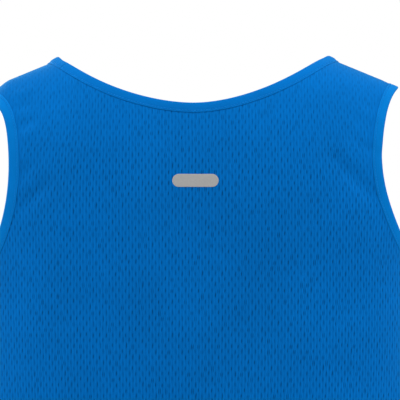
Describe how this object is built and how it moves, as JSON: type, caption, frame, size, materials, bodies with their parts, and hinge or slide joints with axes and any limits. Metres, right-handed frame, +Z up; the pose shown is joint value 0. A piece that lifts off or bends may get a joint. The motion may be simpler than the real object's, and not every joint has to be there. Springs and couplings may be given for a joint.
{
  "type": "running singlet",
  "caption": "Sleeveless mesh running top for men, with bound neck and armholes and a turned hem, filled out as worn with no wearer.",
  "frame": {"origin": "on the centre line, level with the middle of the tops of the two straps, where the wearer's shoulders hold the singlet", "axes": "+Z up, +X to the wearer's left, the singlet's back faces +Y and its front faces -Y"},
  "size_m": [0.4259, 0.2299, 0.7206],
  "materials": {
    "mesh": "royal blue polyester mesh with staggered upright slits, matt",
    "binding": "smooth royal blue knitted binding, slightly lighter than the mesh"
  },
  "bodies": {
    "root": {"back_panel": "mesh", "front_panel": "mesh", "neck_binding": "binding", "armhole_binding_left": "binding", "armhole_binding_right": "binding"}
  },
  "joints": []
}
